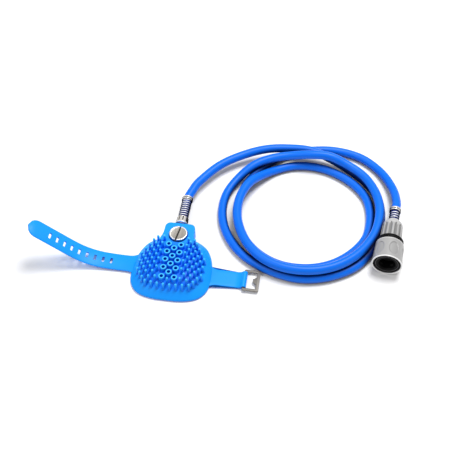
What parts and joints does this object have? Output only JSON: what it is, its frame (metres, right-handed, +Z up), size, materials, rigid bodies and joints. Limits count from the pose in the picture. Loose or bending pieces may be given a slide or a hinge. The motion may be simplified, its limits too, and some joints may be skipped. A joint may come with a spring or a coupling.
{
  "type": "handheld bath sprayer",
  "caption": "Palm-worn silicone bath sprayer for pets: nubs and spray nozzles, wrist strap with buckle, coin-slot bolt, coiled hose and quick connector.",
  "frame": {"origin": "on the floor under the middle of the pad and its straps, without the hose and its fittings", "axes": "+X along the short strap towards the buckle, +Y from the pad towards the hose's exit, +Z up; the pad lies palm side down"},
  "size_m": [0.4364, 0.2718, 0.0582],
  "materials": {
    "blue_silicone": "satin",
    "blue_hose": "gloss",
    "brushed_steel": "brushed",
    "bright_steel": "polished",
    "steel_wire": "polished",
    "brass": "machined",
    "grey_plastic": "satin",
    "black_plastic": "satin",
    "black_rubber": "matte"
  },
  "bodies": {
    "pad": {"scrubber_pad": "blue_silicone", "palm_plate": "black_plastic", "valve_spring": "steel_wire", "water_tray": "grey_plastic", "spray_plate": "brushed_steel", "hose_eye": "brass", "threaded_insert": "brass", "lower_washer": "black_rubber", "upper_washer": "black_rubber", "pad_ferrule": "bright_steel", "pad_relief_spring": "steel_wire", "pad_spring_collar": "bright_steel", "hose": "blue_hose", "connector_spring_collar": "bright_steel", "connector_relief_spring": "steel_wire", "grip_ring": "black_plastic", "hose_tail": "brass", "connector_body": "black_plastic", "sleeve_spring": "steel_wire", "spigot_seal": "black_rubber"},
    "long_strap": {"long_strap": "blue_silicone"},
    "short_strap": {"short_strap": "blue_silicone"},
    "buckle": {"buckle_frame": "brushed_steel"},
    "palm_button": {"palm_button": "black_plastic", "valve_plunger": "brass", "plunger_seal": "black_rubber"},
    "release_sleeve": {"release_sleeve": "grey_plastic"},
    "clamp_nut": {"clamp_nut": "grey_plastic"},
    "coin_bolt": {"coin_bolt": "brushed_steel"},
    "locking_claw_1": {"locking_claw_1": "bright_steel"},
    "locking_claw_2": {"locking_claw_2": "bright_steel"},
    "locking_claw_3": {"locking_claw_3": "bright_steel"},
    "locking_claw_4": {"locking_claw_4": "bright_steel"}
  },
  "joints": [
    {"name": "long_strap_bend", "type": "hinge", "parent": "pad", "child": "long_strap", "pos_m": [-0.0182, -0.00885, 0.0029], "axis": [0, 1, 0], "range_deg": [-80, 45], "stiffness_Nm_per_rad": 0.05, "springref_deg": 5.16},
    {"name": "short_strap_bend", "type": "hinge", "parent": "pad", "child": "short_strap", "pos_m": [0.0804, -0.01445, 0.0021], "axis": [0, -1, 0], "range_deg": [-80, 45], "stiffness_Nm_per_rad": 0.05, "springref_deg": 2.58},
    {"name": "buckle_swing", "type": "hinge", "parent": "short_strap", "child": "buckle", "pos_m": [0.1175, -0.01445, 0.0037], "axis": [0, -1, 0], "range_deg": [-90, 90]},
    {"name": "palm_button_press", "type": "slide", "parent": "pad", "child": "palm_button", "axis": [0, 0, 1], "range_m": [0, 0.0016], "stiffness_N_per_m": 500, "springref_m": -0.001, "deforming": ["valve_spring"]},
    {"name": "sleeve_release", "type": "slide", "parent": "pad", "child": "release_sleeve", "axis": [0.108, 0.9942, 0], "range_m": [0, 0.0045], "stiffness_N_per_m": 500, "springref_m": -0.004, "deforming": ["sleeve_spring"]},
    {"name": "clamp_nut_turn", "type": "hinge", "parent": "pad", "child": "clamp_nut", "pos_m": [0.28645, 0.06976, 0.018], "axis": [0.108, 0.9942, 0], "range_deg": [-40, 40]},
    {"name": "coin_bolt_turn", "type": "hinge", "parent": "pad", "child": "coin_bolt", "pos_m": [0.0311, 0.03225, 0.018], "axis": [0, 0, 1], "range_deg": [-40, 40]},
    {"name": "claw_1_release", "type": "slide", "parent": "pad", "child": "locking_claw_1", "axis": [0.703, -0.0764, -0.7071], "range_m": [0, 0.0007]},
    {"name": "claw_2_release", "type": "slide", "parent": "pad", "child": "locking_claw_2", "axis": [-0.703, 0.0764, -0.7071], "range_m": [0, 0.0007]},
    {"name": "claw_3_release", "type": "slide", "parent": "pad", "child": "locking_claw_3", "axis": [-0.703, 0.0764, 0.7071], "range_m": [0, 0.0007]},
    {"name": "claw_4_release", "type": "slide", "parent": "pad", "child": "locking_claw_4", "axis": [0.703, -0.0764, 0.7071], "range_m": [0, 0.0007]}
  ],
  "couplings": [
    {"joint": "claw_1_release", "follows": "sleeve_release", "ratio": 0.155},
    {"joint": "claw_2_release", "follows": "sleeve_release", "ratio": 0.155},
    {"joint": "claw_3_release", "follows": "sleeve_release", "ratio": 0.155},
    {"joint": "claw_4_release", "follows": "sleeve_release", "ratio": 0.155}
  ]
}
